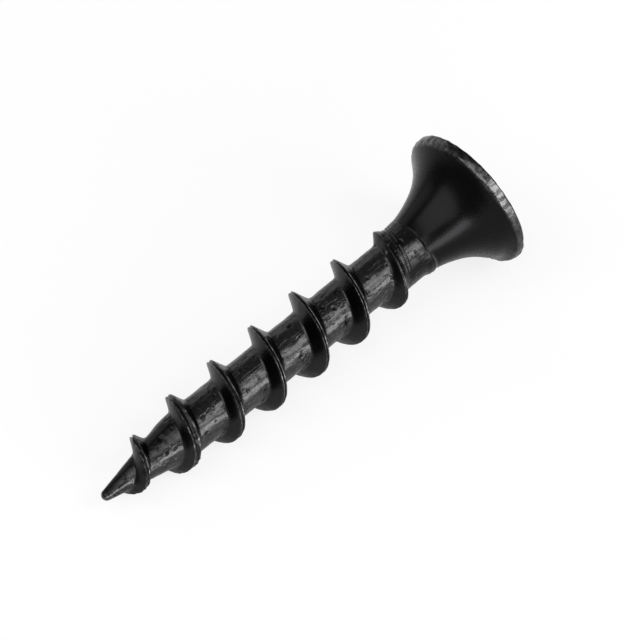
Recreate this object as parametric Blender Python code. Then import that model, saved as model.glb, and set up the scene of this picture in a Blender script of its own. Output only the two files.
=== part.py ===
"""Bugle-head thread-forming screw, cold-headed and thread-rolled from one piece of steel wire.

The screw is drawn upright, with its point at the bottom and its axis on +Z: a turned blank, a helical
thread rolled onto it and a cross recess punched into its head. It is then laid on its side along +X, as
it comes to rest on a bench: on the rim of its head and on the thread crests near its point. The origin
is at the centre of its bounding box, on the bench. Sizes are in metres and angles in degrees.
"""

import math

import bmesh
import bpy
from mathutils import Matrix, Vector

# Head: a flat-topped bugle whose trumpet-shaped flare runs down into the neck
LENGTH = 0.0250
HEAD_DIAMETER = 0.0075
RIM_HEIGHT = 0.00050
RIM_CHAMFER = 0.00008
FLARE_LENGTH = 0.00405
FLARE_FOOT_DIAMETER = 0.00306

# Neck: the collar that the rolling dies reach, and the shoulder where they stop, a little way up the flare
COLLAR_DIAMETER = 0.00297
COLLAR_LENGTH = 0.00125
SHOULDER_RISE = 0.00040
SWELL_LENGTH = 0.0005

# Shank: the rolled root and the point that it tapers to
ROOT_DIAMETER = 0.00244
POINT_LENGTH = 0.0049
TIP_RADIUS = 0.00027

# Thread: coarse, deep and sharp, with a narrow flat crest and a fillet at its root
THREAD_DIAMETER = 0.00396
PITCH = 0.00282
THREAD_HAND = -1  # -1 winds left-handed, as the reference shows it, and +1 right-handed
CREST_WIDTH = 0.00011
FLANK_ANGLE = 26.0
ROOT_FILLET = 0.00009
FIRST_CREST = 0.0012  # height over the point at which the thread starts
TAPER_LENGTH = 0.0104  # over which the crests grow to their full diameter
LAST_CREST_GAP = 0.00005  # from the shoulder down to where the thread ends
RUN_IN_TURNS = 0.5
RUN_OUT_TURNS = 0.38
END_SHARE = 0.12  # share of its full height that the thread keeps at either end

# Cross recess: four tapered wings round a blunt cone
RECESS_WIDTH = 0.0043
RECESS_DEPTH = 0.0024
RECESS_FLOOR_WIDTH = 0.0019
WING_THICKNESS = 0.0011
RECESS_CORE_DIAMETER = 0.0022
RECESS_FLOOR_DROP = 0.0003

# Facets: sides of every round form, and steps along its arcs
SIDES = 56
TIP_STEPS = 3
FLARE_STEPS = 8
SWELL_STEPS = 3

# The facet of the round forms that the screw lies on, counted from the one where the thread starts
REST_FACET = -1

# Derived sizes
HEAD_RADIUS = HEAD_DIAMETER / 2
FLARE_FOOT_RADIUS = FLARE_FOOT_DIAMETER / 2
COLLAR_RADIUS = COLLAR_DIAMETER / 2
ROOT_RADIUS = ROOT_DIAMETER / 2
THREAD_RADIUS = THREAD_DIAMETER / 2
RIM_BASE = LENGTH - RIM_HEIGHT
SHOULDER = RIM_BASE - FLARE_LENGTH + SHOULDER_RISE
COLLAR_BASE = SHOULDER - COLLAR_LENGTH
LAST_CREST = SHOULDER - LAST_CREST_GAP
SECTION_ANGLE = 2 * math.pi / SIDES
MERGE_DISTANCE = 1e-7


def point_profile():
    """(radius, height) down the outside of the point: from its widest place to the pole of its rounded tip."""
    reach = POINT_LENGTH - TIP_RADIUS
    slope = math.atan2(ROOT_RADIUS, reach)
    slope += math.asin(-TIP_RADIUS / math.hypot(ROOT_RADIUS, reach))
    angles = [slope + (math.pi / 2 - slope) * i / TIP_STEPS for i in range(TIP_STEPS + 1)]
    arc = [(TIP_RADIUS * math.cos(a), TIP_RADIUS * (1 - math.sin(a))) for a in angles]
    return [(ROOT_RADIUS, POINT_LENGTH)] + arc[:-1] + [(0.0, 0.0)]


def neck_profile():
    """(radius, height) down the collar and the soft step from it to the rolled root."""
    points = []
    for i in range(SWELL_STEPS + 1):
        share = i / SWELL_STEPS
        ease = (1 - math.cos(math.pi * share)) / 2
        points.append((COLLAR_RADIUS + (ROOT_RADIUS - COLLAR_RADIUS) * ease, COLLAR_BASE - SWELL_LENGTH * share))
    return points


def flare_profile():
    """(radius, height) down the trumpet flare: one arc, from the rim's lower edge to the shoulder's step."""
    rise = HEAD_RADIUS - FLARE_FOOT_RADIUS
    arc_radius = (FLARE_LENGTH**2 + rise**2) / (2 * rise)
    top = math.asin(min(1.0, FLARE_LENGTH / arc_radius))
    bottom = math.asin(min(1.0, SHOULDER_RISE / arc_radius))
    points = []
    for i in range(FLARE_STEPS + 1):
        angle = top + (bottom - top) * i / FLARE_STEPS
        radius = FLARE_FOOT_RADIUS + arc_radius * (1 - math.cos(angle))
        points.append((radius, RIM_BASE - FLARE_LENGTH + arc_radius * math.sin(angle)))
    step = points[-1][0] - COLLAR_RADIUS
    return points + [(COLLAR_RADIUS, SHOULDER - step)]


def blank_profile():
    """(radius, height) down the outside of the turned blank, from the edge of its flat top to the tip."""
    head = [(HEAD_RADIUS - RIM_CHAMFER, LENGTH), (HEAD_RADIUS, LENGTH - RIM_CHAMFER)]
    return head + flare_profile() + neck_profile() + point_profile()


def surface_radius(height):
    """Radius of the blank at a height, between the points of its profile."""
    profile = blank_profile()
    for (upper_radius, upper), (lower_radius, lower) in zip(profile, profile[1:]):
        if lower <= height <= upper and upper > lower:
            return lower_radius + (upper_radius - lower_radius) * (height - lower) / (upper - lower)
    return 0.0


def new_object(name, mesh_maker):
    """Adds an object whose mesh is what mesh_maker puts into an empty bmesh, with its faces pointing out."""
    shape = bmesh.new()
    mesh_maker(shape)
    bmesh.ops.remove_doubles(shape, verts=shape.verts, dist=MERGE_DISTANCE)
    bmesh.ops.recalc_face_normals(shape, faces=shape.faces)
    if shape.calc_volume(signed=True) < 0:
        bmesh.ops.reverse_faces(shape, faces=shape.faces)
    mesh = bpy.data.meshes.new(name)
    shape.to_mesh(mesh)
    shape.free()
    made = bpy.data.objects.new(name, mesh)
    bpy.context.scene.collection.objects.link(made)
    return made


def make_blank(shape):
    """The headed blank, spun from its profile and closed with one flat face on top."""
    verts = [shape.verts.new((radius, 0.0, height)) for radius, height in blank_profile()]
    edges = [shape.edges.new(pair) for pair in zip(verts, verts[1:])]
    bmesh.ops.spin(
        shape, geom=verts + edges, cent=(0, 0, 0), axis=(0, 0, 1), angle=2 * math.pi, steps=SIDES
    )
    bmesh.ops.remove_doubles(shape, verts=shape.verts, dist=MERGE_DISTANCE)
    bmesh.ops.holes_fill(shape, edges=shape.edges)


def full_stand(middle):
    """How far a full crest stands over the blank at a height: the crests grow in an ogive near the point."""
    taper = 1 - min(1.0, middle / TAPER_LENGTH)
    return THREAD_RADIUS * math.sqrt(1 - taper**2) - surface_radius(middle)


def thread_section(turn, turns, sunk):
    """(radius, height) round one section of the thread: base, fillet, flank and crest, then back down.

    Near the point the whole section grows with the turn. At the other end the dies don't fill, so the
    flanks stay where they are and the crest is cut off lower and wider. A sunk section, which ends the
    thread, lies wholly under the surface.
    """
    middle = FIRST_CREST + PITCH * turn
    slope = math.tan(math.radians(FLANK_ANGLE))
    full = full_stand(middle) * (END_SHARE + (1 - END_SHARE) * min(1.0, turn / RUN_IN_TURNS))
    stand = full * (END_SHARE + (1 - END_SHARE) * min(1.0, (turns - turn) / RUN_OUT_TURNS))
    fillet = min(ROOT_FILLET, stand / 2)
    drop = stand + fillet if sunk else 0.0
    crest = CREST_WIDTH / 2 + (full - stand) * slope
    knee = CREST_WIDTH / 2 + (full - fillet) * slope
    base = knee + 2 * fillet
    below = [
        (surface_radius(middle - base) / 2, middle - base),
        (surface_radius(middle - base) - fillet, middle - base),
        (surface_radius(middle - knee) + fillet, middle - knee),
        (surface_radius(middle) + stand, middle - crest),
    ]
    above = [
        (surface_radius(middle) + stand, middle + crest),
        (surface_radius(middle + knee) + fillet, middle + knee),
        (surface_radius(middle + base) - fillet, middle + base),
        (surface_radius(middle + base) / 2, middle + base),
    ]
    return [(radius - drop, height) for radius, height in below + above]


def make_thread(shape):
    """The thread: sections set round the helix, one at each corner of the blank, joined and capped."""
    count = round((LAST_CREST - FIRST_CREST) / PITCH * SIDES)
    rings = []
    for i in range(count + 1):
        angle = THREAD_HAND * SECTION_ANGLE * i
        section = thread_section(i / SIDES, count / SIDES, sunk=i in (0, count))
        rings.append([
            shape.verts.new((radius * math.cos(angle), radius * math.sin(angle), height))
            for radius, height in section
        ])
    for ring, after in zip(rings, rings[1:]):
        for j in range(len(ring)):
            k = (j + 1) % len(ring)
            shape.faces.new((ring[j], ring[k], after[k], after[j]))
    shape.faces.new(rings[0])
    shape.faces.new(rings[-1])


def cross_outline(size):
    """(x, y) round a cross: for each wing its two inner and two outer corners, at a share of full size."""
    reach = size * RECESS_WIDTH / 2
    half = size * WING_THICKNESS / 2
    web = size * RECESS_CORE_DIAMETER / 2
    outline = []
    for quarter in range(4):
        turn = Matrix.Rotation(quarter * math.pi / 2, 2)
        for corner in ((web, -half), (reach, -half), (reach, half), (web, half)):
            outline.append(turn @ Vector(corner))
    return outline


def make_recess(shape):
    """The punch that leaves the cross recess: a tapered cross, with a shallow cone for its floor."""
    shrink = (RECESS_WIDTH - RECESS_FLOOR_WIDTH) / RECESS_WIDTH / RECESS_DEPTH
    layers = []
    for depth in (-RIM_CHAMFER, RECESS_DEPTH):
        outline = cross_outline(1 - shrink * depth)
        layers.append([shape.verts.new((x, y, LENGTH - depth)) for x, y in outline])
    apex = shape.verts.new((0.0, 0.0, LENGTH - RECESS_DEPTH - RECESS_FLOOR_DROP))
    mouth, floor = layers
    for j in range(len(mouth)):
        k = (j + 1) % len(mouth)
        shape.faces.new((mouth[j], mouth[k], floor[k], floor[j]))
        shape.faces.new((floor[j], floor[k], apex))
    shape.faces.new(mouth)


def as_tool(made):
    """Keeps a shape that only serves a Boolean out of the finished model."""
    made.hide_render = True
    made.display_type = "WIRE"
    return made


def add_boolean(target, tool, operation):
    """Joins a tool to the target, or cuts it from it, with a live modifier."""
    step = target.modifiers.new(tool.name, "BOOLEAN")
    step.operation = operation
    step.solver = "EXACT"
    step.object = tool


def phosphate_finish():
    """Black phosphate over steel: near-black and satin, with a dull metallic gloss."""
    finish = bpy.data.materials.new("black_phosphate")
    finish.use_nodes = True
    shader = finish.node_tree.nodes["Principled BSDF"]
    shader.inputs["Base Color"].default_value = (0.035, 0.035, 0.037, 1.0)
    shader.inputs["Metallic"].default_value = 0.6
    shader.inputs["Roughness"].default_value = 0.42
    return finish


def lay_down(mesh):
    """Turns the upright screw onto its side, with the rim and the thread's lowest crest on the bench."""
    roll = Matrix.Rotation(-(REST_FACET + 0.5) * SECTION_ANGLE, 4, "Z")
    side = Matrix.Rotation(math.pi / 2, 4, "Y")
    mesh.transform(side @ roll)
    rim_height = min(v.co.z for v in mesh.vertices)
    rim_reach = min(v.co.x for v in mesh.vertices if v.co.z < rim_height + MERGE_DISTANCE)
    ahead = [v.co for v in mesh.vertices if v.co.x < rim_reach - PITCH]
    lean = min(math.atan2(co.z - rim_height, rim_reach - co.x) for co in ahead)
    mesh.transform(Matrix.Rotation(-lean, 4, "Y"))
    low = Vector([min(v.co[i] for v in mesh.vertices) for i in range(3)])
    high = Vector([max(v.co[i] for v in mesh.vertices) for i in range(3)])
    foot = (low + high) / 2
    foot.z = low.z
    mesh.transform(Matrix.Translation(-foot))


def build_screw():
    """The blank, with the recess cut from it and the thread joined to it, laid on its side as one solid."""
    blank = new_object("blank", make_blank)
    add_boolean(blank, as_tool(new_object("recess", make_recess)), "DIFFERENCE")
    add_boolean(blank, as_tool(new_object("thread", make_thread)), "UNION")
    finished = blank.evaluated_get(bpy.context.evaluated_depsgraph_get())
    mesh = bpy.data.meshes.new_from_object(finished)
    mesh.name = "screw"
    lay_down(mesh)
    mesh.shade_smooth()
    mesh.set_sharp_from_angle(angle=math.radians(35.0))
    screw = bpy.data.objects.new("screw", mesh)
    screw.data.materials.append(phosphate_finish())
    bpy.context.scene.collection.objects.link(screw)
    as_tool(blank)


for existing in list(bpy.data.objects):
    bpy.data.objects.remove(existing)
build_screw()
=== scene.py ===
import math

import bmesh
import bpy
import numpy as np
from mathutils import Matrix, Vector


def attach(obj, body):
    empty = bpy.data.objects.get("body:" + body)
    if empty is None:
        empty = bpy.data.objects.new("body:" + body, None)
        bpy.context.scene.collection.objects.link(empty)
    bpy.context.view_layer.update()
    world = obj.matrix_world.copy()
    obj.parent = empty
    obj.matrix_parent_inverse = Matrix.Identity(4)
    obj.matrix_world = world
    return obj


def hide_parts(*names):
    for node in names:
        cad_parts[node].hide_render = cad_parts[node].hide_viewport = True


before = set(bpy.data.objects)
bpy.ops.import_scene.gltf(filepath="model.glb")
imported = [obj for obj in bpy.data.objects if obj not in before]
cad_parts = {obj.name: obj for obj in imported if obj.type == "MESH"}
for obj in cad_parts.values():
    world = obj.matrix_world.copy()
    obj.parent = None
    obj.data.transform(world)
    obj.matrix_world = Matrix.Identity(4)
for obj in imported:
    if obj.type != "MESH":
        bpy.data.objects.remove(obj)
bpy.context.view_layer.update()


# The shank: the point, the rolled thread, its lands and the collar under the head. One hardened steel
# wire was rolled between flat dies, which pinch the metal up into sharp crests with a fold along their tops,
# leave flow marks and pits on the lands between them, and stop at a small step below the head.

# Lengths are in millimetres, with the tip at 0 and the axis upright, until the screw is laid down. The
# thread is counted in turns from its start, and it starts and ends at corners of the solid's blank.
PITCH = 2.82
BLANK_SIDES = 56
THREAD_START = 1.2
THREAD_TURNS = 389 / BLANK_SIDES
TAPER_LENGTH = 10.4
END_SHARE = 0.12
RUN_IN = 0.3
END_RAMP = 1 / BLANK_SIDES
ROOT_RADIUS = 1.235
TIP_RADIUS = 0.285
POINT_LENGTH = 4.9
POINT_EASE = 0.06
COLLAR_RADIUS = 1.505
SWELL_LENGTH = 0.36
NO_SWELL = 30.0  # a foot for the swell that is over the whole screw

# What the dies left from turn to turn, as (turn, size): the radius to which the crests filled, how far
# they lie nearer the point than a true helix, how wide they are against the usual width, and on the last
# turn the height at which the collar's swell starts.
CREST_FILL = np.array([
    (0.17, 1.98), (0.67, 2.12), (1.0, 1.94), (1.2, 1.94), (1.67, 2.15), (2.0, 1.945), (2.3, 1.99),
    (2.67, 2.0), (3.2, 1.97), (3.67, 2.05), (4.2, 2.02), (4.67, 2.08), (5.2, 2.04), (5.7, 1.99),
    (6.15, 1.95), (6.22, 1.94), (6.30, 1.78), (6.40, 1.61), (6.57, 1.58), (6.66, 1.75), (6.75, 1.75),
    (6.93, 1.53),
])
CREST_DRIFT = np.array([
    (0, 0.06), (0.3, 0.02), (0.67, -0.10), (1.2, -0.04), (2.5, -0.03), (3.5, 0.02), (4.2, 0.0), (4.7, 0.05),
    (5.2, 0.07), (5.7, 0.10), (6.1, 0.05), (6.37, 0.14), (6.67, 0.26), (7.0, 0.2), (7.4, 0),
])
CREST_SPREAD = np.array([
    (0.4, 1.4), (0.9, 1.6), (1.15, 2.7), (1.45, 2.6), (1.70, 1.5), (2.0, 1.2), (2.4, 1.5), (2.9, 1.2),
    (4.0, 1.0),
])
SWELL_FEET = np.array([(5.94, 20.0), (6.16, 18.30), (6.45, 18.88), (6.70, 19.55), (6.95, 20.0)])

# The thread's section. The last turn was rolled lower than the others, with flatter flanks and no fold.
POINT_FLANK = math.tan(math.radians(25.5))
HEAD_FLANK = math.tan(math.radians(29.5))
LAST_POINT_FLANK = math.tan(math.radians(38))
LAST_HEAD_FLANK = math.tan(math.radians(52))
LAST_TURN = 6.2
LAST_TURN_FULL = 6.45
CREST_HALF_WIDTH = 0.085
LAST_NARROWING = 0.6
FILLET = 0.10
CREST_CORNER = 0.02
FOLD_DEPTH = 0.06
FOLD_WIDTH = 0.035
FOLD_STAIN_WIDTH = 0.030
RIDGE_PLACE = 0.066
RIDGE_WIDTH = 0.024
LAST_RIDGE_WIDTH = 0.044
DRIFT_REACH = 0.8

# Fine forms, and the angles round the axis of the front, which faces the camera, and of one side.
PITS = 260
PIT_DEPTH = 0.04
SPECK_STAND = 0.06
SPECK_REACH = 0.075
DIE_LINE_STAND = 0.016
DIE_LINE_LENGTH = 0.2
BEAD_STAND = 0.115
BEAD_HEIGHT = 20.80
BEAD_WIDTH = 0.22
SMOOTH_STAND = 0.045
FRONT_ANGLE = math.radians(207.1)
SIDE_ANGLE = FRONT_ANGLE + math.pi / 2

# The grid: its rows climb along the helix from a seam at one corner of the blank, and start under one crest
# and end over another. Across a pitch they lie at these distances over a crest, close together on it and in
# the fillets.
COLUMNS = 144
SEAM_TURN = 45 / BLANK_SIDES
ROWS_UNDER = 0.446
ROWS_OVER = 0.354
crest_side = np.array([
    0, 0.018, 0.036, 0.055, 0.07, 0.085, 0.11, 0.16, 0.22, 0.29, ROWS_OVER, 0.40, ROWS_UNDER,
    0.48, 0.51, 0.54, 0.58, 0.63,
])
land_side = np.linspace(crest_side[-1], PITCH - crest_side[-1], 26)[1:-1]
pitch_rows = np.concatenate([crest_side, land_side, PITCH - crest_side[:0:-1]])
seam_crests = THREAD_START + PITCH * (SEAM_TURN + np.arange(-2, 7))
seam_rows = (seam_crests[:, None] + pitch_rows).ravel()
lowest_row = seam_crests[1] - ROWS_UNDER
highest_row = seam_crests[7] + ROWS_OVER
seam_rows = seam_rows[(seam_rows > lowest_row - 1e-6) & (seam_rows < highest_row + 1e-6)]
round_share = np.arange(COLUMNS + 1) / COLUMNS
column_angle = -2 * math.pi * (SEAM_TURN + round_share)
front_turn = (column_angle - FRONT_ANGLE + math.pi) % (2 * math.pi) - math.pi


def ramp(value, start, end):
    """Share of the way from start to end: (value - start) / (end - start), held between 0 and 1."""
    return np.clip((value - start) / (end - start), 0, 1)


def hump(value, middle, reach):
    """A smooth hump of height 1: a bell curve round the middle, which falls to 1 / e at its reach."""
    return np.exp(-(((value - middle) / reach) ** 2))


def at_turn(turn, table):
    """The value at a turn, with straight lines between a table's (turn, value) rows."""
    return np.interp(turn, *table.T)


def around(radius, angle, height):
    """(x, y, height) of points at a radius and an angle round the axis."""
    radius, angle, height = np.broadcast_arrays(radius, angle, height)
    return np.stack([radius * np.cos(angle), radius * np.sin(angle), height], axis=-1)


def helix_heights(rows, step):
    """Heights of a grid whose rows climb one pitch on their way round, so that they follow the crests.

    Row i ends where row i + step starts. A fan of rows under the first one and another over the last
    one close the grid with a level ring at either end: height = start + climb * share of the way round.
    """
    climb = PITCH * round_share
    under = rows[0] + (rows[:step, None] - rows[0]) * round_share
    middle = rows[:, None] + climb
    over = rows[-1] + climb + (rows[-step:, None] + PITCH - rows[-1]) * (1 - round_share)
    return np.concatenate([under, middle, over])


def core_radius(height, swell_foot):
    """Radius of the rolled blank: a ball tip, a cone that eases into the root, and the collar's soft swell.

    The swell lies under the last crest on its way up, so that its foot is at another height in each column.
    """
    slope = math.atan2(ROOT_RADIUS, POINT_LENGTH - TIP_RADIUS)
    slope -= math.asin(TIP_RADIUS / math.hypot(ROOT_RADIUS, POINT_LENGTH - TIP_RADIUS))
    touch = TIP_RADIUS * (1 - math.sin(slope))
    ball = np.sqrt(np.clip(TIP_RADIUS**2 - (TIP_RADIUS - height) ** 2, 0, None))
    cone = TIP_RADIUS * math.cos(slope) + (height - touch) * math.tan(slope)
    eased = (cone + ROOT_RADIUS - np.sqrt((cone - ROOT_RADIUS) ** 2 + POINT_EASE**2)) / 2
    point = np.where(height < touch, ball, eased)
    swell = np.clip((height - swell_foot) / SWELL_LENGTH, 0, 1)
    return point + (COLLAR_RADIUS - ROOT_RADIUS) * (1 - np.cos(math.pi * swell)) / 2


def crest_radius(turn):
    """Radius of the crests: an ogive over the taper, times the radius to which the dies filled them."""
    taper = np.clip(1 - (THREAD_START + PITCH * turn) / TAPER_LENGTH, 0, 1)
    return at_turn(turn, CREST_FILL) * np.sqrt(1 - taper**2)


def nearest_crest(height):
    """(turn, distance over it) of the crest that is nearest to each point of the grid, round its own column.

    A crest is at the start plus a pitch for each turn, less the drift that the dies leave in it.
    """
    start = SEAM_TURN + round_share
    turn = start + np.round((height - THREAD_START) / PITCH - start)
    return turn, height - THREAD_START - PITCH * turn + at_turn(turn, CREST_DRIFT)


def thread_stand(turn, distance, core):
    """How far the thread stands over the core: straight flanks, a hyperbola for each fillet and a cut crest.

    Near the point the whole section grows with the turn. On the last turn it is lower, with flatter flanks.
    A groove runs along the top, where the sides of the crest fold together.
    """
    middle = THREAD_START + PITCH * turn
    grown = END_SHARE + (1 - END_SHARE) * np.clip(turn / RUN_IN, 0, 1)
    last = ramp(turn, LAST_TURN, LAST_TURN_FULL)
    spread = at_turn(turn, CREST_SPREAD)
    ends = np.clip(turn / END_RAMP, 0, 1) * np.clip((THREAD_TURNS - turn) / END_RAMP, 0, 1)
    under = core_radius(middle, NO_SWELL)
    peak = under + (crest_radius(turn) - under) * grown
    point_slope = POINT_FLANK + (LAST_POINT_FLANK - POINT_FLANK) * last
    head_slope = HEAD_FLANK + (LAST_HEAD_FLANK - HEAD_FLANK) * last
    slope = np.where(distance < 0, point_slope, head_slope)
    half_width = CREST_HALF_WIDTH * (spread - LAST_NARROWING * last)
    flank = (peak - core - np.clip(np.abs(distance) - half_width, 0, None) / slope) * ends
    cut = np.clip(peak - core, 0, None) * ends
    fillet = np.minimum(FILLET, cut * 0.4)
    stand = (flank + np.sqrt(flank**2 + fillet**2)) / 2
    corner = np.minimum(CREST_CORNER, cut * 0.1)
    stand = (stand + cut - np.sqrt((stand - cut) ** 2 + corner**2)) / 2
    fold = FOLD_DEPTH * np.clip(cut / 0.4, 0, 1) * hump(distance, 0, FOLD_WIDTH * spread)
    return np.clip(stand - fold * (1 - last), 0, None)


def ripple(points, size, seed, waves=26):
    """Smooth random relief from about -1 to 1: cosine waves of about one length, in random directions."""
    source = np.random.default_rng(seed)
    ways = source.normal(size=(waves, 3))
    ways /= np.linalg.norm(ways, axis=1)[:, None]
    ways *= 2 * math.pi / size * source.uniform(0.75, 1.35, (waves, 1))
    phases = source.uniform(0, 2 * math.pi, waves)
    return np.cos(points @ ways.T + phases).sum(axis=-1) / math.sqrt(waves * 2)


def dents(points, centres, reach):
    """Share of a dent's depth at each point: flat in the middle of its reach, with steep sides round it."""
    square = (points**2).sum(-1)[..., None] + (centres**2).sum(-1) - 2 * points @ centres.T
    return np.clip(np.exp(-((square / reach**2) ** 2)).sum(axis=-1), 0, 1)


# The drift moves whole rows of the grid with the crests, and dies away on the lands. The level ring at the
# top stays where it is, because the head's first row meets it.
column_last_turn = SEAM_TURN + round_share + np.floor(THREAD_TURNS - SEAM_TURN - round_share)
swell_feet = at_turn(column_last_turn, SWELL_FEET)
shank_height = helix_heights(seam_rows, len(pitch_rows))
shank_turn, over_crest = nearest_crest(shank_height)
drift = at_turn(shank_turn, CREST_DRIFT)
under_top = shank_height < highest_row + PITCH - 0.001
shank_height = shank_height - drift * hump(over_crest, drift, DRIFT_REACH) * under_top
shank_turn, over_crest = nearest_crest(shank_height)
shank_core = core_radius(shank_height, swell_feet)
shank_stand = thread_stand(shank_turn, over_crest, shank_core)
shank_skin = around(shank_core, column_angle, shank_height)

# Where each part of the shank is, as shares from 0 to 1: lands, flanks and crests, the low last turn, the
# ragged crests near the point, a crest's ridges and fold, and the sides of the bead and the smoothed step.
land_share = ramp(shank_stand, 0.12, 0) * ramp(shank_height, 0.6, 1.4)
flank_share = ramp(shank_stand, 0, 0.2)
on_top = ramp(shank_stand, 0.12, 0.42)
last_share = ramp(shank_turn, LAST_TURN, LAST_TURN_FULL)
rough_share = ramp(shank_turn, 2, 1)
ridge_place = RIDGE_PLACE * at_turn(shank_turn, CREST_SPREAD) * (1 - last_share)
ridge_width = RIDGE_WIDTH + (LAST_RIDGE_WIDTH - RIDGE_WIDTH) * last_share
crest_share = on_top * hump(np.abs(over_crest), ridge_place, ridge_width) * (1 + 0.8 * last_share)
fold_share = on_top * (1 - last_share) * hump(over_crest, 0, FOLD_STAIN_WIDTH)
fold_share = fold_share * np.clip(shank_turn - 1.1, 0.25, 1)
bead_share = ramp(np.abs(front_turn - math.pi / 2), 1.2, 0.6)
smooth_share = ramp(front_turn, -0.45, -0.95) * ramp(front_turn, -2.6, -2.1)

# Pits and flow marks on the lands, a soft unevenness on the flanks, and more of it on the crests near the
# point. The swell's foot is over the low pits and under the high ones, which lie on the root and the collar.
pit_source = np.random.default_rng(11)
pit_angle = pit_source.uniform(0, 2 * math.pi, PITS)
pit_height = pit_source.uniform(2.0, 20.6, PITS)
pit_foot = np.interp(pit_height, [18, 20], [NO_SWELL, 18])
pit_radius = core_radius(pit_height, pit_foot)
pit_reach = 0.045 + 0.10 * pit_source.uniform(0, 1, PITS) ** 2.5
warp = 0.035 * np.stack([ripple(shank_skin, 0.25, seed) for seed in (21, 22, 23)], axis=-1)
pit_share = land_share * dents(shank_skin + warp, around(pit_radius, pit_angle, pit_height), pit_reach)
along_way = shank_skin * np.array([1.0, 1.0, 0.2])
across_way = shank_skin * np.array([0.3, 0.3, 1.0])
flow = 0.010 * ripple(shank_skin, 0.9, 1) + 0.004 * ripple(along_way, 0.22, 2)
flow = flow + 0.005 * ripple(across_way, 0.35, 3)
relief = flow * land_share - PIT_DEPTH * pit_share
relief = relief + flank_share * 0.006 * ripple(shank_skin, 0.7, 4)
relief = relief + on_top * 0.010 * ripple(shank_skin, 0.4, 5)
relief = relief + on_top * rough_share * 0.030 * ripple(shank_skin, 0.24, 12)

# Two specks of metal on the last turn, the dies' fine lines beside it, and the collar's upper end: a bead of
# metal pushed up on one side, and a step that was smoothed away on the other.
speck_centres = around(np.array([1.62, 1.40]), np.radians([176.5, 183.4]), np.array([19.45, 19.10]))
rolled_skin = around(shank_core + shank_stand, column_angle, shank_height)
speck_share = dents(rolled_skin, speck_centres, SPECK_REACH)
relief = relief + SPECK_STAND * speck_share
die_edge = last_share * np.exp(-(((over_crest - 0.35) / 0.30) ** 4))
relief = relief + DIE_LINE_STAND * die_edge * np.cos(2 * math.pi * over_crest / DIE_LINE_LENGTH)
relief = relief + SMOOTH_STAND * smooth_share * ramp(shank_height, 20.35, 20.75)
relief = relief + BEAD_STAND * bead_share * hump(shank_height, BEAD_HEIGHT, BEAD_WIDTH)
shank_points = around(shank_core + shank_stand + relief, column_angle, shank_height)

tip_height = lowest_row * np.array([0, 0.06, 0.2, 0.42, 0.7])[:, None]
tip_points = around(core_radius(tip_height, swell_feet), column_angle, tip_height)


# The head: a flare like a trumpet's bell, a narrow rim and a flat top with a cross recess. It was upset cold
# from the same wire in two blows, so its sides are smooth, its rim is a little ragged where the metal was
# free, and the recess has the draft of the punch that made it.
HEAD_LENGTH = 25.0
SHOULDER = 20.85
FLARE_START = 20.88
FLARE_FOOT = 20.45
FLARE_FOOT_RADIUS = 1.53
FULLER_STAND = 0.045
FULLER_HEIGHT = 21.9
RIM_FOOT = 24.35
RIM_BASE = 24.5
RIM_RADIUS = 3.765
RIM_SOFTENING = 0.16
BEAD_LIFT = 0.17
HEAD_TILT = 0.011
CHIPS = 90
FRONT_CHIPS = 30
CHIP_DEPTH = 0.03
NOTCH_DEPTH = 0.06
RECESS_DEPTH = 2.4
RECESS_REACH = 2.15
RECESS_FLOOR_REACH = 0.95
RECESS_HALF = 0.55
RECESS_WEB = 1.1
RECESS_FLOOR_DROP = 0.3
RECESS_MOUTH = 1.03
RECESS_COLUMN = 28
RECESS_DRAFT = (RECESS_REACH - RECESS_FLOOR_REACH) / RECESS_REACH / RECESS_DEPTH


def corner_bend(start, corner, end, steps):
    """Points round a corner: the quadratic curve that leaves along one side and arrives along the other."""
    t = np.linspace(0, 1, steps)[:, None]
    return (1 - t) ** 2 * np.array(start) + 2 * t * (1 - t) * np.array(corner) + t**2 * np.array(end)


def flare_arc(steps):
    """(radius, height) up the flare: one arc that leaves the neck along the axis and ends at the rim.

    The upsetting blow left the lower flare a little fuller than the arc, by a hump along its height.
    """
    rise = RIM_RADIUS - FLARE_FOOT_RADIUS
    length = RIM_BASE - FLARE_FOOT
    arc = (length**2 + rise**2) / (2 * rise)
    angle = np.linspace(math.asin((FLARE_START - FLARE_FOOT) / arc), math.asin(length / arc), steps)
    height = FLARE_FOOT + arc * np.sin(angle)
    fuller = FULLER_STAND * hump(height, FULLER_HEIGHT, 0.9)
    return np.stack([FLARE_FOOT_RADIUS + arc * (1 - np.cos(angle)) + fuller, height], axis=-1)


def cross_ring(size, depth):
    """(x, y, height) round the cross recess at a depth, one point for each column.

    A quarter runs along half of a wing's end, the wing's side, a bevel, the next wing's side and half of
    its end, with corners at set columns. The others are the same, turned by right angles.
    """
    place = (RECESS_COLUMN - np.arange(COLUMNS + 1)) % COLUMNS
    quarter_columns = COLUMNS // 4
    along = place % quarter_columns
    corners = [0, 4, 14, 22, 32, quarter_columns]
    x = np.interp(along, corners, [RECESS_REACH, RECESS_REACH, RECESS_WEB, RECESS_HALF, RECESS_HALF, 0])
    y = np.interp(along, corners, [0, RECESS_HALF, RECESS_HALF, RECESS_WEB, RECESS_REACH, RECESS_REACH])
    quarter = (place // quarter_columns) * math.pi / 2
    turned_x = x * np.cos(quarter) - y * np.sin(quarter)
    turned_y = x * np.sin(quarter) + y * np.cos(quarter)
    return np.stack([size * turned_x, size * turned_y, np.full(COLUMNS + 1, HEAD_LENGTH - depth)], axis=-1)


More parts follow.
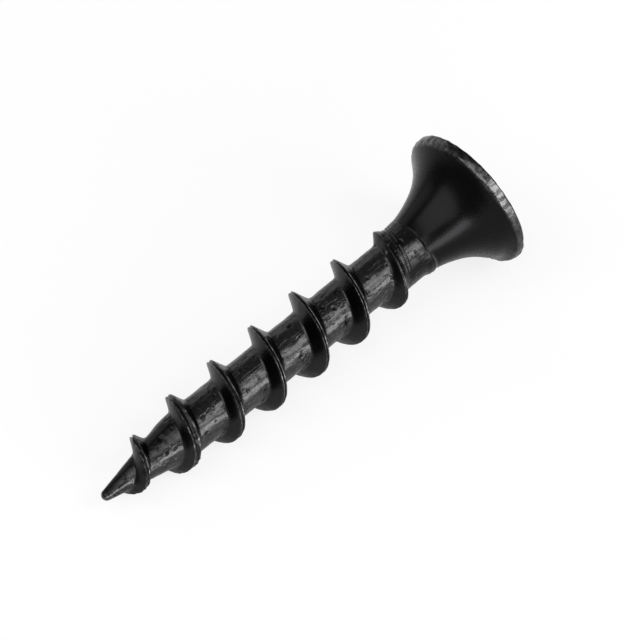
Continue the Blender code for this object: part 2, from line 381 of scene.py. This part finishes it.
# The profile, as (radius, height): the collar's edge, the small step at the shoulder, the flare and the rim.
flare = flare_arc(40)
step_radius = flare[0, 0]
shoulder = np.array([
    [COLLAR_RADIUS, 20.775], [COLLAR_RADIUS + 0.004, 20.79], [COLLAR_RADIUS + 0.022, 20.80],
    [step_radius - 0.018, 20.825], [step_radius - 0.005, 20.845], [step_radius - 0.001, 20.868],
])
before_rim = flare[-1] + (flare[-2] - flare[-1]) * 0.09 / np.linalg.norm(flare[-2] - flare[-1])
rim_foot = corner_bend(before_rim, (RIM_RADIUS, RIM_BASE), (RIM_RADIUS, RIM_BASE + 0.07), 6)
rim_side = np.stack([np.full(4, RIM_RADIUS), np.linspace(RIM_BASE + 0.12, HEAD_LENGTH - 0.16, 4)], axis=-1)
rim_corner = (RIM_RADIUS, HEAD_LENGTH)
rim_top = corner_bend((RIM_RADIUS, HEAD_LENGTH - 0.11), rim_corner, (RIM_RADIUS - 0.13, HEAD_LENGTH), 6)
head_profile = np.concatenate([shoulder, flare[:-1], rim_foot, rim_side, rim_top])
row_radius = head_profile[:, :1]
row_height = head_profile[:, 1:]
head_height = row_height + 0 * round_share

# The thread's end, the bead and the smoothed side go on from the collar over the shoulder, and the bead
# lifts the step over it.
run_out = COLLAR_RADIUS + thread_stand(*nearest_crest(head_height), COLLAR_RADIUS)
bead_width = np.where(head_height < BEAD_HEIGHT, BEAD_WIDTH, 0.05)
bead = BEAD_STAND * bead_share * hump(head_height, BEAD_HEIGHT, bead_width)
smoothed = smooth_share * np.clip(step_radius - 0.002 - row_radius, 0, None)
head_points = around(np.maximum(row_radius + smoothed, run_out) + bead, column_angle, head_height)
head_points[..., 2] += BEAD_LIFT * bead_share * hump(head_height, BEAD_HEIGHT + 0.13, BEAD_WIDTH)

# Where each part of the head is. The rim's foot is softer on one side, where the die's edge was worn, and
# its lower edge is a little softer on the other.
rim_share = ramp(row_height, RIM_FOOT, RIM_FOOT + 0.12)
shoulder_share = hump(row_height, SHOULDER, 0.03)
flare_share = ramp(row_height, 20.87, 20.97)
soft_side = (1 + np.cos(column_angle - SIDE_ANGLE)) / 2
softened = RIM_SOFTENING * soft_side**2 * hump(head_height, RIM_FOOT, 0.28)
softened = softened + 0.05 * ramp(front_turn, 0.1, -0.3) * hump(head_height, 24.52, 0.10)

# Small chips all round the rim, more of them in front, and seven larger notches.
chip_source = np.random.default_rng(31)
chip_angle = np.concatenate([
    chip_source.uniform(0, 2 * math.pi, CHIPS - FRONT_CHIPS), chip_source.uniform(2.6, 3.9, FRONT_CHIPS),
])
chip_height = RIM_BASE + chip_source.uniform(-0.05, 0.5, CHIPS)
chip_reach = chip_source.uniform(0.06, 0.22, CHIPS)
chip_share = rim_share * dents(head_points, around(RIM_RADIUS, chip_angle, chip_height), chip_reach)
notch_angle = np.radians([163, 167, 171, 174, 178, 184, 192])
notch_height = np.array([24.98, 24.72, 25.0, 24.86, 24.66, 24.98, 24.95])
notch_reach = np.array([0.16, 0.22, 0.14, 0.24, 0.13, 0.12, 0.09])
head_warp = 0.05 * np.stack([ripple(head_points, 0.3, seed) for seed in (24, 25, 26)], axis=-1)
notch_centres = around(RIM_RADIUS, notch_angle, notch_height)
notch_share = rim_share * dents(head_points + head_warp, notch_centres, notch_reach)
rag = rim_share * (0.014 * ripple(head_points, 0.6, 6) + 0.009 * ripple(head_points, 0.25, 7))
rag = rag - CHIP_DEPTH * chip_share - NOTCH_DEPTH * notch_share - softened
rag = rag + shoulder_share * 0.008 * ripple(head_points, 0.5, 8)
rag = rag + flare_share * 0.008 * ripple(head_points, 2.2, 9)
head_points = head_points + rag[..., None] * around(1.0, column_angle, 0.0)

# The flat top runs in to the recess's mouth, and the recess down to its floor and in to the middle of it.
mouth = cross_ring(RECESS_MOUTH, 0)
across = np.linspace(0, 1, 12)[1:, None, None]
top_face = head_points[-1] * (1 - across) + mouth * across
wall_depth = [0.03, 0.1, 0.35, 0.7, 1.05, 1.4, 1.75, 2.1, 2.33, RECESS_DEPTH]
wall = np.stack([cross_ring(1 - RECESS_DRAFT * depth, depth) for depth in wall_depth])
floor_share = np.linspace(1, 0, 6)[1:, None, None]
floor_centre = np.array([0, 0, HEAD_LENGTH - RECESS_DEPTH - RECESS_FLOOR_DROP])
recess_floor = wall[-1] * floor_share + floor_centre * (1 - floor_share)


# The whole screw: one piece of steel and so one skin, from the pole of the tip to the middle of the recess.
# It lies on its side, on its rim and on the thread near its point, with the shank rising to the head. Its
# head leans a little on the shank, and the shank is bowed a little along the bench.
LEAN = math.radians(6.087)
ROLL = math.radians(3.214)
HEAD_CENTRE = Vector((12.2366, 0.0, 3.776))
BOW_MIDDLE = 2.0
BOW_SHIFT = 0.06
HEAD_BOW = 0.0013
POINT_BOW = 0.00034
lay = Matrix.Rotation(-LEAN, 3, "Y") @ Matrix.Rotation(math.pi / 2, 3, "Y") @ Matrix.Rotation(ROLL, 3, "Z")
skin = np.concatenate([tip_points, shank_points, head_points, top_face, wall, recess_floor])
to_side = skin[..., 0] * math.cos(SIDE_ANGLE) + skin[..., 1] * math.sin(SIDE_ANGLE)
skin[..., 2] += HEAD_TILT * to_side * ramp(skin[..., 2], 21.5, 23.5)
laid = (skin - np.array([0, 0, HEAD_LENGTH])) @ np.array(lay).T + np.array(HEAD_CENTRE)
from_middle = laid[..., 0] - BOW_MIDDLE
laid[..., 1] += np.where(from_middle > 0, HEAD_BOW, POINT_BOW) * from_middle**2 - BOW_SHIFT

# Shares that the finish reads at each point, from 0 to 1, or more where the wear is deepest. Painted shade
# dulls the lands on the collar's two sides and on one side of the point, by their angle from the front, and
# a painted highlight streaks the rim bright in front and on one side.
tip_rows = slice(0, len(tip_points))
shank_rows = slice(tip_rows.stop, tip_rows.stop + len(shank_points))
head_rows = slice(shank_rows.stop, shank_rows.stop + len(head_points))
face_rows = slice(head_rows.stop, len(skin))
shares = {name: np.zeros(skin.shape[:2]) for name in ("land", "crest", "rim", "flank", "pit", "painted_light")}
# A painted highlight: bare metal on one side of the tip, by its angle from the front.
tip_painted_highlight = 0.6 * ramp(shank_height, 1.1, 0.6) * ramp(front_turn, -0.1, 0.3)
# Painted shade: dull lands on the collar's two sides, by their angle from the front.
collar_painted_shade = 0.55 * ramp(front_turn, 0.05, -0.2) + ramp(front_turn, 0.2, 0.45)
shares["land"][shank_rows] = land_share
shares["land"][face_rows] = 0.35
shares["crest"][tip_rows] = 0.8
shares["crest"][shank_rows] = np.maximum(crest_share, 5.0 * speck_share) + tip_painted_highlight
# A painted highlight: the shoulder's bright line, bare only on one side of the front.
shares["crest"][head_rows] = shoulder_share * np.clip((front_turn - 0.6) / 0.3, 0.05, 1)
shares["rim"][head_rows] = np.clip((head_height - RIM_FOOT - 0.20 * soft_side**2) / 0.12, 0, 1)
shares["rim"][face_rows] = 0.20
shares["pit"][shank_rows] = np.maximum(pit_share, fold_share)
shares["pit"][head_rows] = 0.8 * notch_share
shares["flank"][shank_rows] = flank_share
# Painted shade: the lands dulled on the collar's sides and on one side of the point, by the angle from the
# front.
shares["painted_light"][shank_rows] = np.maximum(
    collar_painted_shade * ramp(shank_height, 19.2, 19.4),
    ramp(front_turn, -0.05, -0.45) * ramp(shank_height, 7.0, 5.5),
)
# A painted highlight: bright streaks on the rim, in front and on one side, by the angle from the front.
shares["painted_light"][head_rows] = hump(front_turn, 0.10, 0.30) + 0.9 * hump(front_turn, -1.4, 0.40)


def skin_mesh(name, grid, places, layers):
    """A mesh of a grid of points, in metres: four-sided faces, welded along the seam and at both poles.

    It keeps each point's place on the upright screw as a vector, and the layers of shares as values.
    """
    rows, columns = grid.shape[:2]
    number = np.arange(rows * columns).reshape(rows, columns)
    faces = np.stack([number[:-1, :-1], number[1:, :-1], number[1:, 1:], number[:-1, 1:]], axis=-1)
    mesh = bpy.data.meshes.new(name)
    mesh.from_pydata(grid.reshape(-1, 3) / 1000, [], faces.reshape(-1, 4).tolist())
    kept = mesh.attributes.new("upright", "FLOAT_VECTOR", "POINT")
    kept.data.foreach_set("vector", places.astype(np.float32).ravel())
    for layer, values in layers.items():
        kept = mesh.attributes.new(layer, "FLOAT", "POINT")
        kept.data.foreach_set("value", values.astype(np.float32).ravel())
    shape = bmesh.new()
    shape.from_mesh(mesh)
    bmesh.ops.remove_doubles(shape, verts=shape.verts, dist=3e-8)
    bmesh.ops.recalc_face_normals(shape, faces=shape.faces)
    if shape.calc_volume(signed=True) < 0:
        bmesh.ops.reverse_faces(shape, faces=shape.faces)
    shape.to_mesh(mesh)
    shape.free()
    mesh.shade_smooth()
    mesh.set_sharp_from_angle(angle=math.radians(50))
    return mesh


screw_skin = bpy.data.objects.new("screw_skin", skin_mesh("screw_skin", laid, skin, shares))
bpy.context.scene.collection.objects.link(screw_skin)


# Black phosphate: a thin, slightly crystalline coat, near-black and satin. It is rubbed shinier on the
# lands, the crests and the rim, where the screws lay against each other, and it stays dull in the pits
# and under the crests. Painted light is mixed in: painted shade dulls some sides of the lands, and
# painted highlights brighten the rim's streaks, one side of the tip and the shoulder's line.
COAT_COLOUR = (0.0090, 0.0090, 0.0095, 1.0)
FLANK_COLOUR = (0.020, 0.020, 0.021, 1.0)
RUBBED_COLOUR = (0.053, 0.053, 0.054, 1.0)
BARE_COLOUR = (0.155, 0.155, 0.158, 1.0)
PIT_COLOUR = (0.010, 0.010, 0.011, 1.0)
BUMP_HEIGHT = 0.00003
phosphate = bpy.data.materials.new("black_phosphate_skin")
phosphate.use_nodes = True
nodes = phosphate.node_tree.nodes
links = phosphate.node_tree.links
coat = nodes["Principled BSDF"]
coat.inputs["Metallic"].default_value = 1.0
coat.inputs["Specular Tint"].default_value = (0.85, 0.85, 0.85, 1.0)
coat.inputs["Coat Weight"].default_value = 0.065
coat.inputs["Coat Roughness"].default_value = 0.20


def put(kind, sources=(), **settings):
    """Adds a node, sets its fields, and joins (socket, source) pairs: an output, or a plain value."""
    made = nodes.new(kind)
    for field, value in settings.items():
        setattr(made, field, value)
    for socket, source in sources:
        if isinstance(source, bpy.types.NodeSocket):
            links.new(source, made.inputs[socket])
        else:
            made.inputs[socket].default_value = source
    return made


def share_of(name):
    """One of the shares that the mesh keeps at its points."""
    return put("ShaderNodeAttribute", attribute_name=name).outputs["Fac"]


def stretched(where, factors):
    """A place times three factors, so that a pattern laid on it is drawn out along the small ones."""
    return put("ShaderNodeVectorMath", [(0, where), (1, factors)], operation="MULTIPLY").outputs["Vector"]


def speckle(where, scale, detail, rough=0.55):
    """A noise pattern from 0 to 1 at so many spots to the millimetre."""
    spots = [("Vector", where), ("Scale", scale), ("Detail", detail), ("Roughness", rough)]
    return put("ShaderNodeTexNoise", spots).outputs["Fac"]


def between(value, low, high, to_low, to_high):
    """The value carried from one range to another, and held at its ends."""
    span = [("Value", value), ("From Min", low), ("From Max", high), ("To Min", to_low), ("To Max", to_high)]
    return put("ShaderNodeMapRange", span).outputs["Result"]


def blend(kind, first, second):
    """Two values or outputs put together by a sum, a product, the larger or the smaller."""
    return put("ShaderNodeMath", [(0, first), (1, second)], operation=kind).outputs["Value"]


def tinted(share, first, second):
    """The first colour turned into the second by a share. The node has its colours in sockets 6, 7 and 2."""
    return put("ShaderNodeMix", [(0, share), (6, first), (7, second)], data_type="RGBA").outputs[2]


upright = put("ShaderNodeAttribute", attribute_name="upright").outputs["Vector"]
on_land = share_of("land")
on_crest_and_painted_highlight = share_of("crest")
on_rim = share_of("rim")
on_flank = share_of("flank")
in_pit = share_of("pit")
# The painted light: painted shade on the lands and a painted highlight on the rim.
in_painted_light = share_of("painted_light")

# The patterns of the wear: grain and chips, scratches along the screw, rings round it and small nicks.
grain = speckle(upright, 14.0, 3.0)
chips = speckle(upright, 5.0, 2.0, 0.5)
scratches = speckle(stretched(upright, (1.0, 1.0, 0.12)), 7.0, 2.0, 0.6)
rings = speckle(stretched(upright, (0.25, 0.25, 1.0)), 4.0, 1.0, 0.5)
nick_spots = speckle(stretched(upright, (1.0, 1.0, 0.55)), 3.3, 1.5, 0.5)
nicks = blend("MULTIPLY", on_land, between(nick_spots, 0.62, 0.72, 0.0, 0.85))
lines = blend("MULTIPLY", on_land, between(scratches, 0.60, 0.66, 0.0, 1.0))

# Rubbed lands, all but those dulled by painted shade, and metal laid bare on the rim, in its streaks, which
# are a painted highlight, and on the crests, which carry the painted highlights of the tip and the shoulder.
rubbed_and_painted_shade = blend("MULTIPLY", on_land, between(chips, 0.38, 0.60, 0.65, 1.0))
# Painted shade: the rubbed colour is taken off the lands where the painted-light share is set.
rubbed_and_painted_shade = blend("MULTIPLY", rubbed_and_painted_shade, between(in_painted_light, 0.0, 1.0, 1.0, 0.08))
# A painted highlight: bare streaks on the rim where the painted-light share is set.
rim_streaks_and_painted_highlight = blend("MULTIPLY", blend("MULTIPLY", on_rim, in_painted_light), between(scratches, 0.40, 0.60, 0.1, 0.9))
bare_and_painted_highlight = blend("MULTIPLY", on_rim, between(chips, 0.35, 0.65, 0.14, 0.46))
bare_and_painted_highlight = blend("ADD", bare_and_painted_highlight, rim_streaks_and_painted_highlight)
bare_and_painted_highlight = blend("MAXIMUM", bare_and_painted_highlight, blend("MULTIPLY", on_crest_and_painted_highlight, between(chips, 0.42, 0.60, 0.2, 1.0)))
tint = tinted(on_flank, COAT_COLOUR, FLANK_COLOUR)
tint = tinted(rubbed_and_painted_shade, tint, RUBBED_COLOUR)
tint = tinted(bare_and_painted_highlight, tint, BARE_COLOUR)
tint = tinted(blend("MAXIMUM", in_pit, nicks), tint, PIT_COLOUR)
links.new(tint, coat.inputs["Base Color"])
gloss = blend("ADD", between(on_land, 0.0, 1.0, 0.27, 0.24), between(grain, 0.3, 0.7, -0.03, 0.05))
links.new(gloss, coat.inputs["Roughness"])

# The bumps: rings and chips on the lands, cut by scratches and nicks, chips on the rim, and grain.
swells = blend("ADD", blend("MULTIPLY", rings, 0.4), blend("MULTIPLY", chips, 0.2))
cuts = blend("ADD", blend("MULTIPLY", lines, 0.3), blend("MULTIPLY", nicks, 0.6))
bump_share = blend("SUBTRACT", blend("MULTIPLY", on_land, swells), cuts)
bump_share = blend("ADD", bump_share, blend("MULTIPLY", chips, blend("MULTIPLY", on_rim, 0.6)))
bump_share = blend("ADD", bump_share, blend("MULTIPLY", grain, between(on_land, 0.0, 1.0, 0.12, 0.05)))
bumps = put("ShaderNodeBump", [("Height", bump_share), ("Distance", BUMP_HEIGHT), ("Strength", 1.0)])
links.new(bumps.outputs["Normal"], coat.inputs["Normal"])
links.new(bumps.outputs["Normal"], coat.inputs["Coat Normal"])
screw_skin.data.materials.append(phosphate)

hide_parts("screw")
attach(screw_skin, "root")


# The camera: it looks down on the lying screw from the side of its point, through a long lens. Its aim is to
# the right of the screw's middle and over it by some pixels of the picture. Lengths are in metres from here.
VIEW_AZIMUTH = math.radians(-43.22)
VIEW_ELEVATION = math.radians(49.71)
VIEW_ROLL = math.radians(-0.18)
VIEW_DISTANCE = 0.6786
PICTURE_WIDTH = 640
PIXEL = 0.0000489
AIM_HEIGHT = 0.0037
AIM_RIGHT = 28.58
AIM_UP = 8.12
look = Vector((
    -math.sin(VIEW_AZIMUTH) * math.cos(VIEW_ELEVATION),
    math.cos(VIEW_AZIMUTH) * math.cos(VIEW_ELEVATION),
    -math.sin(VIEW_ELEVATION),
))
right = look.cross(Vector((0, 0, 1))).normalized()
up = right.cross(look)
right, up = (
    right * math.cos(VIEW_ROLL) + up * math.sin(VIEW_ROLL),
    up * math.cos(VIEW_ROLL) - right * math.sin(VIEW_ROLL),
)
aim = Vector((0, 0, AIM_HEIGHT)) + (right * AIM_RIGHT + up * AIM_UP) * PIXEL
camera = bpy.data.objects.new("camera", bpy.data.cameras.new("camera"))
camera_turn = Matrix((right, up, -look)).transposed().to_4x4()
camera.matrix_world = Matrix.Translation(aim - look * VIEW_DISTANCE) @ camera_turn
camera.data.sensor_width = 36.0
camera.data.lens = VIEW_DISTANCE / PIXEL * camera.data.sensor_width / PICTURE_WIDTH
camera.data.clip_start = 0.01
camera.data.clip_end = 20.0
bpy.context.scene.collection.objects.link(camera)
bpy.context.scene.camera = camera


# The floor: a plain white sheet of matt paper that the screw lies on, wide enough to fill every view. To the
# camera it is mostly a plain glow, so that it stays as pale as the photograph's ground.
floor_mesh = bpy.data.meshes.new("floor")
floor_mesh.from_pydata([(-2, -2, 0), (2, -2, 0), (2, 2, 0), (-2, 2, 0)], [], [(0, 1, 2, 3)])
floor = bpy.data.objects.new("floor", floor_mesh)
bpy.context.scene.collection.objects.link(floor)
paper = bpy.data.materials.new("white_paper")
paper.use_nodes = True
nodes = paper.node_tree.nodes
links = paper.node_tree.links
sheet = nodes["Principled BSDF"]
sheet.inputs["Base Color"].default_value = (0.9, 0.9, 0.9, 1.0)
sheet.inputs["Roughness"].default_value = 0.9
sheet.inputs["Specular IOR Level"].default_value = 0.0
glow_share = blend("MULTIPLY", put("ShaderNodeLightPath").outputs["Is Camera Ray"], 0.8)
glow = put("ShaderNodeEmission", [("Color", (1, 1, 1, 1)), ("Strength", 1.0)]).outputs["Emission"]
both = put("ShaderNodeMixShader", [(0, glow_share), (1, sheet.outputs["BSDF"]), (2, glow)])
links.new(both.outputs["Shader"], nodes["Material Output"].inputs["Surface"])
floor_mesh.materials.append(paper)


# The light: four soft boxes in an even grey room. A wide one stands low in front of the screw, a small one
# higher beside the camera, the largest hangs over it and a weak one stands behind.
def soft_box(name, way, distance, width, height, power):
    """An area lamp of a size and power, at a distance from the screw in a direction, facing it."""
    lamp = bpy.data.lights.new(name, "AREA")
    lamp.shape = "RECTANGLE"
    lamp.size = width
    lamp.size_y = height
    lamp.energy = power
    holder = bpy.data.objects.new(name, lamp)
    way = Vector(way).normalized()
    side = Vector((0, 0, 1)).cross(way).normalized()
    turn = Matrix((side, way.cross(side), way)).transposed().to_4x4()
    holder.matrix_world = Matrix.Translation(way * distance) @ turn
    bpy.context.scene.collection.objects.link(holder)


soft_box("key", (-0.10, -0.98, 0.18), 0.6, 0.84, 0.22, 4.0)
soft_box("side", (0.29, -0.64, 0.71), 0.7, 0.36, 0.34, 1.75)
soft_box("top", (-0.485, -0.05, 0.875), 0.8, 1.10, 0.71, 4.9)
soft_box("back", (0.0, 0.91, 0.41), 0.8, 0.85, 0.45, 1.0)
room = bpy.data.worlds.new("room")
room.use_nodes = True
room.node_tree.nodes["Background"].inputs["Color"].default_value = (1, 1, 1, 1)
room.node_tree.nodes["Background"].inputs["Strength"].default_value = 0.21
bpy.context.scene.world = room
bpy.context.scene.view_settings.view_transform = "Standard"
